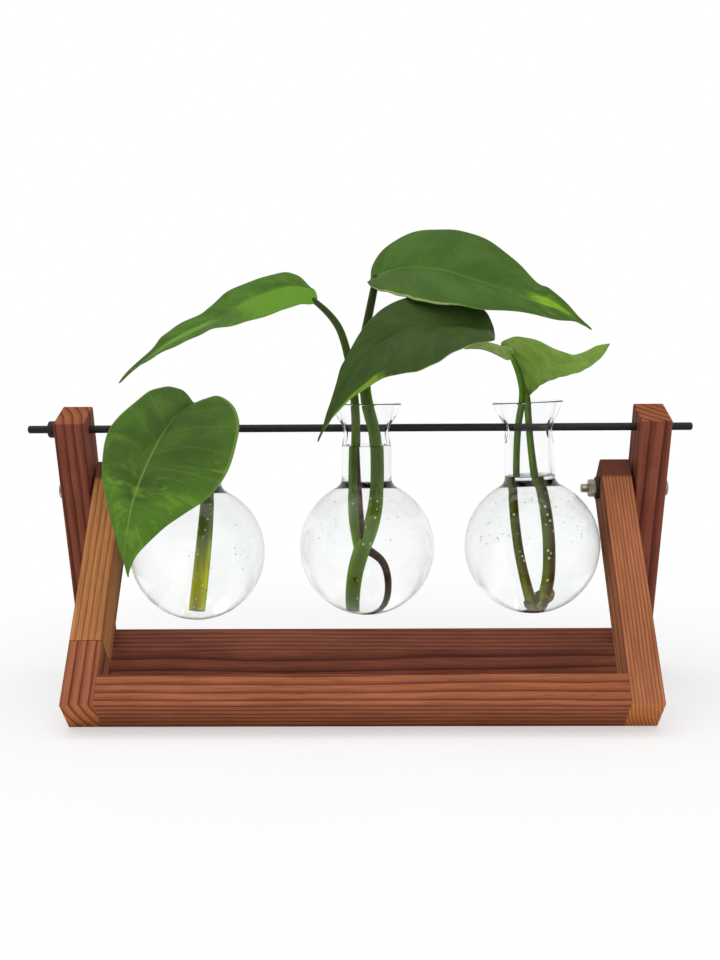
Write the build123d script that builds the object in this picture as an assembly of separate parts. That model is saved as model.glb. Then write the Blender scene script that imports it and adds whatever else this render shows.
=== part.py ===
from build123d import *
import math
import os

# Propagation vase: three glass bulbs hang on a black rod in a hinged wooden stand.
# X runs along the rod, -Y is the front, +Z is up and the table is Z = 0.

# Timber of both frames
stick_width = 13.7
stick_depth = 21.6
rail_height = 13.7
rear_pivot_up = 94.9
rod_over_pivot = 30.5
top_over_rod = 6.9
front_top_over_pivot = 8.7
front_splice_up = 29.5
rear_lean = 19.4
front_lean = 41.4
edge_round = 0.7
end_ease = 0.4
foot_flat_depth = 0.6

# Dowels hidden in the glued joints
dowel_radius = 2.5
dowel_in_rail = 12.0
dowel_in_upright = 8.0
splice_dowel_half = 10.0
glue_gap = 0.05
dowel_end_gap = 0.5
dowel_depth_shares = (0.28, 0.72)

# Pivot bolts, nuts and rubber washers
bolt_radius = 2.0
bolt_play = 0.1
bolt_head_radius = 3.8
bolt_head_height = 2.9
bolt_head_round = 1.2
bolt_recess_width = 0.9
bolt_recess_depth = 1.4
bolt_recess_span_share = 1.1
bolt_end_ease = 0.4
thread_beyond_nut = 3.3
nut_across_flats = 7.0
nut_height = 3.2
nut_ease = 0.45
thread_gap = 0.05
washer_gap = 1.2
washer_radius = 5.3
nut_washer_radius = 5.2
nut_washer_thickness = 1.6
washer_ease = 0.25
side_gap = 0.1

# Rod and its stop ring
rod_radius = 1.75
rod_left_overhang = 14.2
rod_right_overhang = 11.4
rod_end_ease = 0.5
rod_play = 0.1
ring_wall = 2.0
ring_length = 4.6
ring_round = 0.9
ring_stretch_gap = 0.05
ring_wood_gap = 0.3

# Glass vases, heights taken from the rod's axis
bulb_radius = 30.8
bulb_top_below_rod = 23.7
neck_radius = 11.3
mouth_radius = 16.0
mouth_above_rod = 10.8
flare_below_rod = 9.0
shoulder_round = 3.0
glass_wall = 1.2
hole_radius = 3.2
hang_gap = 0.3
left_vase_drop = 2.0
right_vase_lean = 2.2
left_end_gap = 2.3
left_middle_gap = 15.8
middle_right_gap = 13.5
right_end_gap = 0.8

# Cuttings: stems are shares of the neck's bore, so that they pass through it beside the rod
stem_radius_share = 0.228
thick_stem_radius_share = 0.257
thin_stem_radius_share = 0.158
petiole_radius_share = 0.139
root_radius_share = 0.079
stub_radius_share = 0.188
stem_rod_gap = 0.55
stem_bend = 7.0
root_bend = 3.0
leaf_thickness = 0.9
leaf_tip_width = 1.4
canopy_spread = 110.0
canopy_reach = 60.0
canopy_height = 90.0

# Half-width of every leaf along its midrib, as shares of its length and width
leaf_outline_shares = ((-0.07, 0.30), (0.0, 0.62), (0.1, 0.88), (0.25, 1.0), (0.42, 0.96),
                       (0.6, 0.76), (0.76, 0.48), (0.9, 0.18))

# Routes inside a vase: (across / bore, up / depth), from the bottom upwards
left_stem_shares = ((0.15, -0.90), (0.50, -0.27), (0.38, 0.02))
middle_left_stem_shares = ((-0.47, -0.94), (-0.50, -0.30), (-0.42, 0.10))
middle_right_stem_shares = ((-0.28, -0.72), (0.40, -0.32), (0.42, -0.05), (-0.04, 0.16))
right_left_stem_shares = ((0.25, -0.90), (-0.60, -0.29), (-0.45, 0.0), (-0.12, 0.16))
right_right_stem_shares = ((0.45, -0.88), (0.60, -0.68), (0.22, -0.29), (0.08, 0.0), (0.04, 0.16))
middle_root_shares = ((0.20, -0.62), (0.66, -0.74), (0.60, -0.89), (-0.10, -0.955))
right_stub_shares = ((-0.56, -0.91), (0.05, -0.93), (0.56, -0.89))

# Routes above the mouth: (across / spread, back / reach, up / height)
left_petiole_shares = ((-0.07, -0.13, 0.175), (-0.11, -0.24, 0.195),
                       (-0.07, -0.44, 0.19), (0.045, -0.55, 0.147))
middle_left_petiole_shares = ((-0.075, -0.08, 0.40), (-0.22, 0.22, 0.645))
middle_top_petiole_shares = ((-0.012, -0.10, 0.42), (0.045, -0.11, 0.75))
middle_front_petiole_shares = ((-0.010, -0.10, 0.44), (0.18, -0.10, 0.60),
                               (0.36, -0.24, 0.57), (0.42, -0.38, 0.52))
right_left_petiole_shares = ((-0.015, 0.17, 0.24), (-0.050, 0.27, 0.374))
right_right_petiole_shares = ((0.0, 0.20, 0.22), (0.0, 0.27, 0.262))

# Each leaf: base, tip and facing direction as shares, then width, arch and fold
left_leaf_base_shares = (0.045, -0.55, 0.147)
left_leaf_tip_shares = (-0.21, -0.85, -0.64)
left_leaf_facing_shares = (-0.30, -0.85, 0.35)
left_leaf_width = 61.0
left_leaf_arch = 24.0
left_leaf_fold = 8.0
middle_left_leaf_base_shares = (-0.22, 0.22, 0.645)
middle_left_leaf_tip_shares = (-1.07, 0.50, 0.22)
middle_left_leaf_facing_shares = (-0.20, -0.55, 0.80)
middle_left_leaf_width = 36.0
middle_left_leaf_arch = 44.0
middle_left_leaf_fold = 14.0
middle_top_leaf_base_shares = (0.045, -0.11, 0.75)
middle_top_leaf_tip_shares = (0.888, -0.33, 0.475)
middle_top_leaf_facing_shares = (0.15, -0.68, 0.70)
middle_top_leaf_width = 57.0
middle_top_leaf_arch = 50.0
middle_top_leaf_fold = 10.0
middle_front_leaf_base_shares = (0.42, -0.38, 0.52)
middle_front_leaf_tip_shares = (-0.183, -0.93, -0.042)
middle_front_leaf_facing_shares = (-0.20, -0.78, 0.60)
middle_front_leaf_width = 44.0
middle_front_leaf_arch = 64.0
middle_front_leaf_fold = 12.0
right_small_leaf_base_shares = (-0.050, 0.27, 0.374)
right_small_leaf_tip_shares = (-0.25, 0.27, 0.395)
right_small_leaf_facing_shares = (0.0, -0.25, 0.95)
right_small_leaf_width = 13.0
right_small_leaf_arch = 20.0
right_small_leaf_fold = 10.0
right_long_leaf_base_shares = (0.0, 0.27, 0.262)
right_long_leaf_tip_shares = (0.360, 0.33, 0.418)
right_long_leaf_facing_shares = (-0.30, -0.62, 0.72)
right_long_leaf_width = 27.0
right_long_leaf_arch = -30.0
right_long_leaf_fold = 16.0

# Worked-out places
lean_r = math.radians(rear_lean)
lean_f = math.radians(front_lean)
overrun = stick_width
half_depth = stick_depth / 2
front_inner = (left_end_gap + left_middle_gap + middle_right_gap + right_end_gap) / 2 + 3 * bulb_radius
front_half = front_inner + stick_width
rear_inner = front_half + washer_gap
rear_half = rear_inner + stick_width
stand_width = 2 * rear_half
rod_up = rear_pivot_up + rod_over_pivot
rear_upright_length = rod_up + top_over_rod
pivot_z = rear_pivot_up * math.cos(lean_r) + half_depth * math.sin(lean_r) - foot_flat_depth
front_pivot_up = (pivot_z + foot_flat_depth - half_depth * math.sin(lean_f)) / math.cos(lean_f)
front_upright_length = front_pivot_up + front_top_over_pivot
rear_reach = rear_pivot_up * math.sin(lean_r) + half_depth * math.cos(lean_r)
front_reach = front_pivot_up * math.sin(lean_f) + half_depth * math.cos(lean_f)
pivot_y = (front_reach - rear_reach) / 2
rear_foot_y = pivot_y + rear_pivot_up * math.sin(lean_r) - half_depth * math.cos(lean_r)
front_foot_y = pivot_y - front_pivot_up * math.sin(lean_f) + half_depth * math.cos(lean_f)
rod_y = pivot_y - rod_over_pivot * math.sin(lean_r)
rod_z = pivot_z + rod_over_pivot * math.cos(lean_r)
bulb_drop = bulb_top_below_rod + bulb_radius
left_vase_x = left_end_gap + bulb_radius - front_inner
middle_vase_x = left_vase_x + 2 * bulb_radius + left_middle_gap
right_bulb_x = middle_vase_x + 2 * bulb_radius + middle_right_gap
right_vase_x = right_bulb_x - bulb_drop * math.sin(math.radians(right_vase_lean))
shoulder_x = neck_radius + shoulder_round
shoulder_z = math.sqrt((bulb_radius + shoulder_round) ** 2 - shoulder_x ** 2) - bulb_drop
bore_radius = neck_radius - glass_wall
bulb_depth = bulb_drop + bulb_radius - glass_wall
stem_radius = bore_radius * stem_radius_share
thick_stem_radius = bore_radius * thick_stem_radius_share
thin_stem_radius = bore_radius * thin_stem_radius_share
petiole_radius = bore_radius * petiole_radius_share
root_radius = bore_radius * root_radius_share
stub_radius = bore_radius * stub_radius_share

# Each frame is drawn upright with its front face on Y = 0, then leaned and set down
rear_place = Pos(0, rear_foot_y, -foot_flat_depth) * Rot(rear_lean, 0, 0)
front_place = Pos(0, front_foot_y, -foot_flat_depth) * Rot(-front_lean, 0, 0) * Pos(0, -stick_depth, 0)


def on_table(solid):
    """Planes off what would reach below the table, which leaves the flat that the edge stands on."""
    below = Box(2 * stand_width, 2 * stand_width, stick_width,
                align=(Align.CENTER, Align.CENTER, Align.MAX))
    return solid - below


def stick(length):
    """An upright stick with eased edges, its front face on Y = 0."""
    body = Box(stick_width, stick_depth, length, align=(Align.CENTER, Align.MIN, Align.MIN))
    body = fillet(body.edges().filter_by(Axis.Z), edge_round)
    return chamfer(body.faces().sort_by(Axis.Z)[-1].edges(), end_ease)


def cross_rod(radius, up, length):
    """A round bar across the stick at mid depth, at a height above the foot."""
    return Pos(0, half_depth, up) * Rot(0, 90, 0) * Cylinder(radius, length)


def corner_bars(inner_half, extra_radius, end_gap):
    """The dowels of a frame's two bottom corners, or the holes for them."""
    bars = []
    length = dowel_in_rail + dowel_in_upright - 2 * end_gap
    for side in (-1, 1):
        middle = side * (inner_half + (dowel_in_upright - dowel_in_rail) / 2)
        for share in dowel_depth_shares:
            place = Pos(middle, stick_depth * share, rail_height / 2) * Rot(0, 90, 0)
            bars.append(place * Cylinder(dowel_radius + extra_radius, length))
    return bars


def splice_bars(extra_radius, end_gap):
    """The dowels along the spliced upright, or the holes for them."""
    length = 2 * (splice_dowel_half - end_gap)
    return [Pos(0, stick_depth * share, front_splice_up) * Cylinder(dowel_radius + extra_radius, length)
            for share in dowel_depth_shares]


def rail(inner_half):
    """A rail between two uprights, bored at both ends for the dowels."""
    body = Box(2 * inner_half, stick_depth, rail_height, align=(Align.CENTER, Align.MIN, Align.MIN))
    body = fillet(body.edges().filter_by(Axis.X), edge_round)
    for bar in corner_bars(inner_half, glue_gap, 0):
        body -= bar
    return body


def bored_upright(body, side, outer_half, inner_half):
    """Moves a drilled stick to its side of a frame and bores it for the corner dowels."""
    body = Pos(side * (outer_half - stick_width / 2), 0, 0) * body
    for bar in corner_bars(inner_half, glue_gap, 0):
        body -= bar
    return body


def rear_upright(side):
    """A tall upright with its bolt hole and rod hole."""
    body = stick(rear_upright_length)
    body -= cross_rod(bolt_radius + bolt_play, rear_pivot_up, stick_width + overrun)
    body -= cross_rod(rod_radius + rod_play, rod_up, stick_width + overrun)
    return bored_upright(body, side, rear_half, rear_inner)


def front_upright():
    """A short upright with its bolt hole, still on the middle line."""
    body = stick(front_upright_length)
    return body - cross_rod(bolt_radius + bolt_play, front_pivot_up, stick_width + overrun)


def spliced_upright():
    """The left short upright cut in two lengths, bored for the splice's dowels."""
    whole = front_upright()
    for bar in splice_bars(glue_gap, 0):
        whole -= bar
    cutter = Box(2 * stick_width, 2 * stick_depth + overrun, front_splice_up,
                 align=(Align.CENTER, Align.CENTER, Align.MIN))
    return whole - cutter, whole & cutter


def pivot_place(side, inward):
    """A place on the pivot's axis, a distance in from the stand's outer face, with +Z outwards."""
    return Pos(side * (rear_half - inward), pivot_y, pivot_z) * Rot(0, side * 90, 0)


def pivot_bolt(side):
    """A pan-head bolt through both uprights, its end beyond the nut."""
    grip = 2 * stick_width + washer_gap + nut_washer_thickness
    length = grip + nut_height + thread_beyond_nut + side_gap
    head = Cylinder(bolt_head_radius, bolt_head_height, align=(Align.CENTER, Align.CENTER, Align.MIN))
    head = fillet(head.faces().sort_by(Axis.Z)[-1].edges(), bolt_head_round)
    slot_top = Pos(0, 0, bolt_head_height)
    span = bolt_head_radius * bolt_recess_span_share
    for turn in (0, 90):
        head -= slot_top * Rot(0, 0, turn) * Box(span, bolt_recess_width, 2 * bolt_recess_depth)
    shank = Cylinder(bolt_radius, length, align=(Align.CENTER, Align.CENTER, Align.MAX))
    shank = chamfer(shank.faces().sort_by(Axis.Z)[0].edges(), bolt_end_ease)
    return pivot_place(side, -side_gap) * (head + shank)


def washer(outer_radius, thickness):
    """A flat rubber washer with eased rims, its inner face on Z = 0 and the rest outwards."""
    ring = Cylinder(outer_radius, thickness, align=(Align.CENTER, Align.CENTER, Align.MIN))
    ring = chamfer(ring.edges().filter_by(GeomType.CIRCLE), washer_ease)
    return ring - Cylinder(bolt_radius + bolt_play, 2 * thickness + overrun)


def friction_washer(side):
    """The rubber washer that holds the two uprights apart."""
    return pivot_place(side, stick_width + washer_gap) * washer(washer_radius, washer_gap - side_gap)


def nut_washer(side):
    """The rubber washer under the nut."""
    inward = 2 * stick_width + washer_gap + nut_washer_thickness
    return pivot_place(side, inward) * washer(nut_washer_radius, nut_washer_thickness)


def pivot_nut(side):
    """A hexagon nut with eased corners."""
    prism = extrude(RegularPolygon(nut_across_flats / 2, 6, major_radius=False), nut_height)
    round_bar = Cylinder(nut_across_flats / math.sqrt(3), nut_height,
                         align=(Align.CENTER, Align.CENTER, Align.MIN))
    nut = prism & chamfer(round_bar.edges().filter_by(GeomType.CIRCLE), nut_ease)
    nut -= Cylinder(bolt_radius + thread_gap, 2 * nut_height + overrun)
    inward = 2 * stick_width + washer_gap + nut_washer_thickness + nut_height
    return pivot_place(side, inward) * nut


def hanging_rod():
    """The black rod, with eased ends, set a little to the left."""
    bar = Cylinder(rod_radius, stand_width + rod_left_overhang + rod_right_overhang)
    bar = chamfer(bar.edges().filter_by(GeomType.CIRCLE), rod_end_ease)
    return Pos((rod_right_overhang - rod_left_overhang) / 2, rod_y, rod_z) * Rot(0, 90, 0) * bar


def rod_stop_ring():
    """The rubber ring on the rod, outside the left tall upright."""
    ring = Cylinder(rod_radius + ring_stretch_gap + ring_wall, ring_length)
    ring = fillet(ring.edges().filter_by(GeomType.CIRCLE), ring_round)
    ring -= Cylinder(rod_radius + ring_stretch_gap, 2 * ring_length)
    across = rear_half + ring_wood_gap + ring_length / 2
    return Pos(-across, rod_y, rod_z) * Rot(0, 90, 0) * ring


def arc_point(centre, radius, toward):
    """The point at a distance from a centre, in the direction of another point."""
    run = (toward[0] - centre[0], toward[1] - centre[1])
    share = radius / math.hypot(run[0], run[1])
    return (centre[0] + run[0] * share, centre[1] + run[1] * share)


def flat_point(point):
    """A radius and a height, as a point of the vase's half section."""
    return Vector(point[0], 0, point[1])


def shoulder_point(wall):
    """Where the neck's rounded foot meets the bulb, at a depth in the wall."""
    return arc_point((0, -bulb_drop), bulb_radius - wall, (shoulder_x, shoulder_z))


def glass_neck(drop):
    """A flared neck down to the bulb, with two rod holes, which sit higher by the drop."""
    flare_run = mouth_radius - neck_radius
    flare_height = mouth_above_rod + flare_below_rod
    flare_arc = (flare_run ** 2 + flare_height ** 2) / (2 * flare_run)
    flare_centre = (neck_radius + flare_arc, -flare_below_rod)
    mouth = (mouth_radius, mouth_above_rod)
    mouth_in = arc_point(flare_centre, flare_arc + glass_wall, mouth)
    lean = ((mouth_in[0] - mouth[0]) / glass_wall, (mouth_in[1] - mouth[1]) / glass_wall)
    lip = ((mouth[0] + mouth_in[0]) / 2 + lean[1] * glass_wall / 2,
           (mouth[1] + mouth_in[1]) / 2 - lean[0] * glass_wall / 2)
    edges = [ThreePointArc(flat_point(mouth), flat_point(lip), flat_point(mouth_in))]
    for rim, wall in ((mouth, 0), (mouth_in, glass_wall)):
        flare_foot = (neck_radius - wall, -flare_below_rod)
        neck_foot = (neck_radius - wall, shoulder_z)
        edges.append(TangentArc(flat_point(flare_foot), flat_point(rim), tangent=(0, 0, 1)))
        edges.append(Line(flat_point(flare_foot), flat_point(neck_foot)))
        edges.append(TangentArc(flat_point(neck_foot), flat_point(shoulder_point(wall)), tangent=(0, 0, -1)))
    edges.append(Line(flat_point(shoulder_point(0)), flat_point(shoulder_point(glass_wall))))
    body = revolve(Face(Wire(edges)), Axis.Z)
    hole_up = drop - (hole_radius - rod_radius - hang_gap)
    return body - Pos(0, 0, hole_up) * Rot(0, 90, 0) * Cylinder(hole_radius, 2 * mouth_radius)


def glass_shoulder():
    """The upper half of a blown round bulb, which the neck grows out of."""
    edges = [Line(flat_point(shoulder_point(0)), flat_point(shoulder_point(glass_wall)))]
    for wall in (0, glass_wall):
        equator = (bulb_radius - wall, -bulb_drop)
        edges.append(TangentArc(flat_point(equator), flat_point(shoulder_point(wall)), tangent=(0, 0, 1)))
    edges.append(Line((bulb_radius, 0, -bulb_drop), (bulb_radius - glass_wall, 0, -bulb_drop)))
    return revolve(Face(Wire(edges)), Axis.Z)


def glass_bowl():
    """The closed lower half of the bulb."""
    edges = [Line((bulb_radius, 0, -bulb_drop), (bulb_radius - glass_wall, 0, -bulb_drop))]
    for wall in (0, glass_wall):
        equator = (bulb_radius - wall, -bulb_drop)
        bottom = (0, wall - bulb_drop - bulb_radius)
        edges.append(TangentArc(flat_point(equator), flat_point(bottom), tangent=(0, 0, -1)))
    edges.append(Line((0, 0, -bulb_drop - bulb_radius), (0, 0, glass_wall - bulb_drop - bulb_radius)))
    return revolve(Face(Wire(edges)), Axis.Z)


def vase_place(side):
    """The place of a vase's rod point, leaned for the right vase, which then hangs by one hole."""
    if side < 0:
        return Pos(left_vase_x, rod_y, rod_z)
    if side == 0:
        return Pos(middle_vase_x, rod_y, rod_z)
    lift = neck_radius * math.sin(math.radians(right_vase_lean))
    return Pos(right_vase_x, rod_y, rod_z + lift) * Rot(0, -right_vase_lean, 0)


def inside_points(shares, radius, back):
    """Points of a route in a vase, on the front (-1) or back (+1) side of the rod."""
    off = back * (rod_radius + stem_rod_gap + radius)
    return [(across * bore_radius, off, up * bulb_depth) for across, up in shares]


def canopy_point(shares):
    """A point above the vase from its shares."""
    return (shares[0] * canopy_spread, shares[1] * canopy_reach, shares[2] * canopy_height)


def tube(points, radius, bend):
    """A round shoot along straight runs joined by arcs, with a rounded end at both ends."""
    path = FilletPolyline(*points, radius=bend) if len(points) > 2 else Line(*points)
    section = Plane(origin=path @ 0, z_dir=path % 0) * Circle(radius)
    body = sweep(section, path=path)
    return body + Pos(*points[0]) * Sphere(radius) + Pos(*points[-1]) * Sphere(radius)


def shoot(inside, radius, back, above):
    """A stem in the vase with its thinner petiole above it."""
    lower = inside_points(inside, radius, back)
    upper = [lower[-1]] + [canopy_point(shares) for shares in above]
    return tube(lower, radius, stem_bend) + tube(upper, petiole_radius, stem_bend)


def leaf(base_shares, tip_shares, facing_shares, width, arch, fold):
    """A thin arched blade, folded along its midrib, drawn through sections across it."""
    base = Vector(*canopy_point(base_shares))
    tip = Vector(*canopy_point(tip_shares))
    chord = tip - base
    along = chord.normalized()
    facing = Vector(*facing_shares)
    out = (facing - along * facing.dot(along)).normalized()
    side = along.cross(out)
    bend = math.radians(arch)
    radius = chord.length / (2 * math.sin(bend / 2))
    rise = math.sin(math.radians(fold))
    spread = math.cos(math.radians(fold))
    rows = [(share, width * half / 2) for share, half in leaf_outline_shares] + [(1, leaf_tip_width / 2)]
    wires = []
    for share, half in rows:
        turn = bend * (share - 0.5)
        centre = base + along * (radius * (math.sin(turn) + math.sin(bend / 2)))
        centre += out * (radius * (math.cos(turn) - math.cos(bend / 2)))
        normal = along * math.sin(turn) + out * math.cos(turn)
        left = centre - side * (half * spread) + normal * (half * rise)
        right = centre + side * (half * spread) + normal * (half * rise)
        under = normal * -leaf_thickness
        ring = [left, centre, right, right + under, centre + under, left + under]
        wires.append(Wire.make_polygon(ring, close=True))
    return Solid.make_loft(wires, True)


def left_cutting():
    """One rooted stem and its heart leaf, which hangs in front of the neck."""
    stem = shoot(left_stem_shares, stem_radius, -1, left_petiole_shares)
    blade = leaf(left_leaf_base_shares, left_leaf_tip_shares, left_leaf_facing_shares,
                 left_leaf_width, left_leaf_arch, left_leaf_fold)
    return {"left_cutting_stem": stem, "left_cutting_leaf": blade}


def middle_cutting():
    """A forked stem in front of the rod, with a root and three leaves."""
    stem = shoot(middle_left_stem_shares, stem_radius, -1, middle_left_petiole_shares)
    stem += shoot(middle_right_stem_shares, thick_stem_radius, -1, middle_top_petiole_shares)
    front = [canopy_point(shares) for shares in middle_front_petiole_shares]
    stem += tube(front, petiole_radius, stem_bend)
    root = tube(inside_points(middle_root_shares, thick_stem_radius, -1), root_radius, root_bend)
    left_blade = leaf(middle_left_leaf_base_shares, middle_left_leaf_tip_shares,
                      middle_left_leaf_facing_shares, middle_left_leaf_width,
                      middle_left_leaf_arch, middle_left_leaf_fold)
    top_blade = leaf(middle_top_leaf_base_shares, middle_top_leaf_tip_shares,
                     middle_top_leaf_facing_shares, middle_top_leaf_width,
                     middle_top_leaf_arch, middle_top_leaf_fold)
    front_blade = leaf(middle_front_leaf_base_shares, middle_front_leaf_tip_shares,
                       middle_front_leaf_facing_shares, middle_front_leaf_width,
                       middle_front_leaf_arch, middle_front_leaf_fold)
    return {"middle_cutting_stem": stem, "middle_cutting_root": root, "middle_left_leaf": left_blade,
            "middle_top_leaf": top_blade, "middle_front_leaf": front_blade}


def right_cutting():
    """Two thin stems behind the rod, a stub of root and two leaves."""
    stem = shoot(right_left_stem_shares, thin_stem_radius, 1, right_left_petiole_shares)
    stem += shoot(right_right_stem_shares, thin_stem_radius, 1, right_right_petiole_shares)
    stub = tube(inside_points(right_stub_shares, stub_radius, 1), stub_radius, root_bend)
    small_blade = leaf(right_small_leaf_base_shares, right_small_leaf_tip_shares,
                       right_small_leaf_facing_shares, right_small_leaf_width,
                       right_small_leaf_arch, right_small_leaf_fold)
    long_blade = leaf(right_long_leaf_base_shares, right_long_leaf_tip_shares,
                      right_long_leaf_facing_shares, right_long_leaf_width,
                      right_long_leaf_arch, right_long_leaf_fold)
    return {"right_cutting_stem": stem, "right_cutting_root": stub, "right_small_leaf": small_blade,
            "right_long_leaf": long_blade}


parts = {
    "rear_rail": on_table(rear_place * rail(rear_inner)),
    "rear_corner_dowels": rear_place * Compound(corner_bars(rear_inner, 0, dowel_end_gap)),
    "front_rail": on_table(front_place * rail(front_inner)),
    "front_corner_dowels": front_place * Compound(corner_bars(front_inner, 0, dowel_end_gap)),
    "hanging_rod": hanging_rod(),
    "rod_stop_ring": rod_stop_ring(),
}
for side, name in ((-1, "left"), (1, "right")):
    parts[f"rear_{name}_upright"] = on_table(rear_place * rear_upright(side))
    parts[f"{name}_pivot_bolt"] = pivot_bolt(side)
    parts[f"{name}_friction_washer"] = friction_washer(side)
    parts[f"{name}_nut_washer"] = nut_washer(side)
    parts[f"{name}_pivot_nut"] = pivot_nut(side)

right_upright = bored_upright(front_upright(), 1, front_half, front_inner)
parts["front_right_upright"] = on_table(front_place * right_upright)
upper_length, foot_length = spliced_upright()
left_foot = bored_upright(foot_length, -1, front_half, front_inner)
splice_place = front_place * Pos(stick_width / 2 - front_half, 0, 0)
parts["front_left_upright"] = splice_place * upper_length
parts["front_left_foot"] = on_table(front_place * left_foot)
parts["front_splice_dowels"] = splice_place * Compound(splice_bars(0, dowel_end_gap))

for side, name, drop, cutting in ((-1, "left", left_vase_drop, left_cutting),
                                  (0, "middle", 0, middle_cutting),
                                  (1, "right", 0, right_cutting)):
    place = vase_place(side)
    parts[f"{name}_vase_neck"] = place * Pos(0, 0, -drop) * glass_neck(drop)
    parts[f"{name}_vase_shoulder"] = place * Pos(0, 0, -drop) * glass_shoulder()
    parts[f"{name}_vase_bowl"] = place * Pos(0, 0, -drop) * glass_bowl()
    for node, solid in cutting().items():
        parts[node] = place * solid

os.makedirs("parts", exist_ok=True)
for node, solid in parts.items():
    export_step(solid, f"parts/{node}.step")
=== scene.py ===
import bpy
from math import asin, atan2, cos, hypot, pi, radians, sin, sqrt
from random import Random
from mathutils import Matrix, Vector
from mathutils.bvhtree import BVHTree


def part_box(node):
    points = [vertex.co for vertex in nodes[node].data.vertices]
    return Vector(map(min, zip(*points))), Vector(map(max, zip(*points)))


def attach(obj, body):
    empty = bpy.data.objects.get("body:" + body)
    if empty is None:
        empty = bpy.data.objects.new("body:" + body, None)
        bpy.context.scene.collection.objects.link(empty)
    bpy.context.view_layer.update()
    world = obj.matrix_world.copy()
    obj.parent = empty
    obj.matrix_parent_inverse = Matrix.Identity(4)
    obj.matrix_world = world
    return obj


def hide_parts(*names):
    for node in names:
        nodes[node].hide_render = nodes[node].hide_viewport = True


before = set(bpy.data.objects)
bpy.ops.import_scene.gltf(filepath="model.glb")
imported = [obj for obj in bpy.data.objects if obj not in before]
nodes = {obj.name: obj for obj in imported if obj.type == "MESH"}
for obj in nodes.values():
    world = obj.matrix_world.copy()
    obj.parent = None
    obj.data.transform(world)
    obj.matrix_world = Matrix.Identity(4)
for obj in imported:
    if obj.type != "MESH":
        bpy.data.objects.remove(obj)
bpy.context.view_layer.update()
scene = bpy.context.scene
scene.view_settings.view_transform = "Standard"
bpy.ops.object.select_all(action="DESELECT")


# Camera. It stands a little above the rod and almost square to the stand, as the picture
# was taken, and the leaves further down are drawn along its sight lines.
eye = Vector((0.00686, -0.5622, 0.1492))
gaze = (Matrix.Rotation(radians(0.80), 3, "Z") @ Matrix.Rotation(radians(84.33), 3, "X")
        @ Matrix.Rotation(radians(-0.34), 3, "Z"))
focal_pixels = 1268.2
middle_column = 360.0
middle_row = 491.7
picture_rows = 960
sensor_width = 36
bpy.ops.object.camera_add(location=eye, rotation=gaze.to_euler())
camera = bpy.context.object
camera.data.sensor_width = sensor_width
camera.data.lens = sensor_width * focal_pixels / picture_rows
camera.data.shift_y = (middle_row - picture_rows / 2) / picture_rows
scene.camera = camera


# Timber sticks: a tall frame of two uprights and a rail behind, and in front a short frame
# of two uprights, a rail and a spliced foot. Planed softwood, stained red-brown and left
# satin, so dark growth lines run along each stick and turn to arcs on its sawn ends.
rear_lean = 19.4
front_lean = -41.4
# How far down from their tops the short uprights carry painted shade.
painted_shade_reach = 0.011
glue_width = 0.0003
wave_repeat = 0.314  # a wave texture of scale 1 repeats after this length


def node(tree, kind, inputs, **options):
    """A shader node with its options set, and its inputs set or joined."""
    made = tree.nodes.new("ShaderNode" + kind)
    for key, value in options.items():
        setattr(made, key, value)
    for key, value in inputs.items():
        if isinstance(value, bpy.types.NodeSocket):
            tree.links.new(value, made.inputs[key])
        else:
            made.inputs[key].default_value = value
    return made


def math(tree, operation, *values):
    """One sum on shader values."""
    return node(tree, "Math", dict(enumerate(values)), operation=operation).outputs[0]


def spread(tree, value, low, high, start, end):
    """A value moved smoothly from one range to another, and held at its ends."""
    return node(tree, "MapRange", {0: value, 1: low, 2: high, 3: start, 4: end},
                interpolation_type="SMOOTHSTEP").outputs[0]


def blend(tree, amount, under, over, kind="MIX"):
    """One colour laid over another."""
    return node(tree, "Mix", {0: amount, 6: under, 7: over}, data_type="RGBA", blend_type=kind).outputs[2]


def ramp(tree, value, stops):
    """A colour for each step of a value."""
    band = node(tree, "ValToRGB", {0: value})
    for place, tint in stops[1:-1]:
        band.color_ramp.elements.new(place)
    for element, (place, tint) in zip(band.color_ramp.elements, stops):
        element.position = place
        element.color = tint
    return band.outputs[0]


def noise(tree, vector, scale, detail=2.0, distortion=0.0):
    """A cloudy value between 0 and 1."""
    return node(tree, "TexNoise", {"Vector": vector, "Scale": scale, "Detail": detail,
                                   "Distortion": distortion}).outputs[0]


def stretched(tree, vector, scale):
    """Coordinates squeezed along the axes, which draws a pattern out."""
    return node(tree, "Mapping", {"Vector": vector, "Scale": scale}).outputs[0]


def own_place(tree):
    """A point's place on the piece itself."""
    return node(tree, "TexCoord", {}).outputs["Object"]


def shaded(tree, tint, value, stops):
    """A colour made lighter or darker by the steps of a value."""
    return blend(tree, 1.0, tint, ramp(tree, value, stops), "MULTIPLY")


def emboss(tree, shader, height, strength, distance):
    """Raises a surface by a value."""
    bump = node(tree, "Bump", {"Strength": strength, "Distance": distance, "Height": height})
    tree.links.new(bump.outputs[0], shader.inputs["Normal"])


def screen(red, green, blue):
    """A colour written as a screen shows it, turned into the light values that a shader takes."""
    levels = [level / 255 for level in (red, green, blue)]
    return [((level + 0.055) / 1.055) ** 2.4 if level > 0.04 else level / 12.92 for level in levels] + [1]


def finish(name):
    """A new material, its node tree and its shader."""
    material = bpy.data.materials.new(name)
    material.use_nodes = True
    return material, material.node_tree, material.node_tree.nodes["Principled BSDF"]


def coat(name, material):
    """Puts a finish on a solid of the frame."""
    for place in nodes[name].material_slots:
        place.material = material


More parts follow.
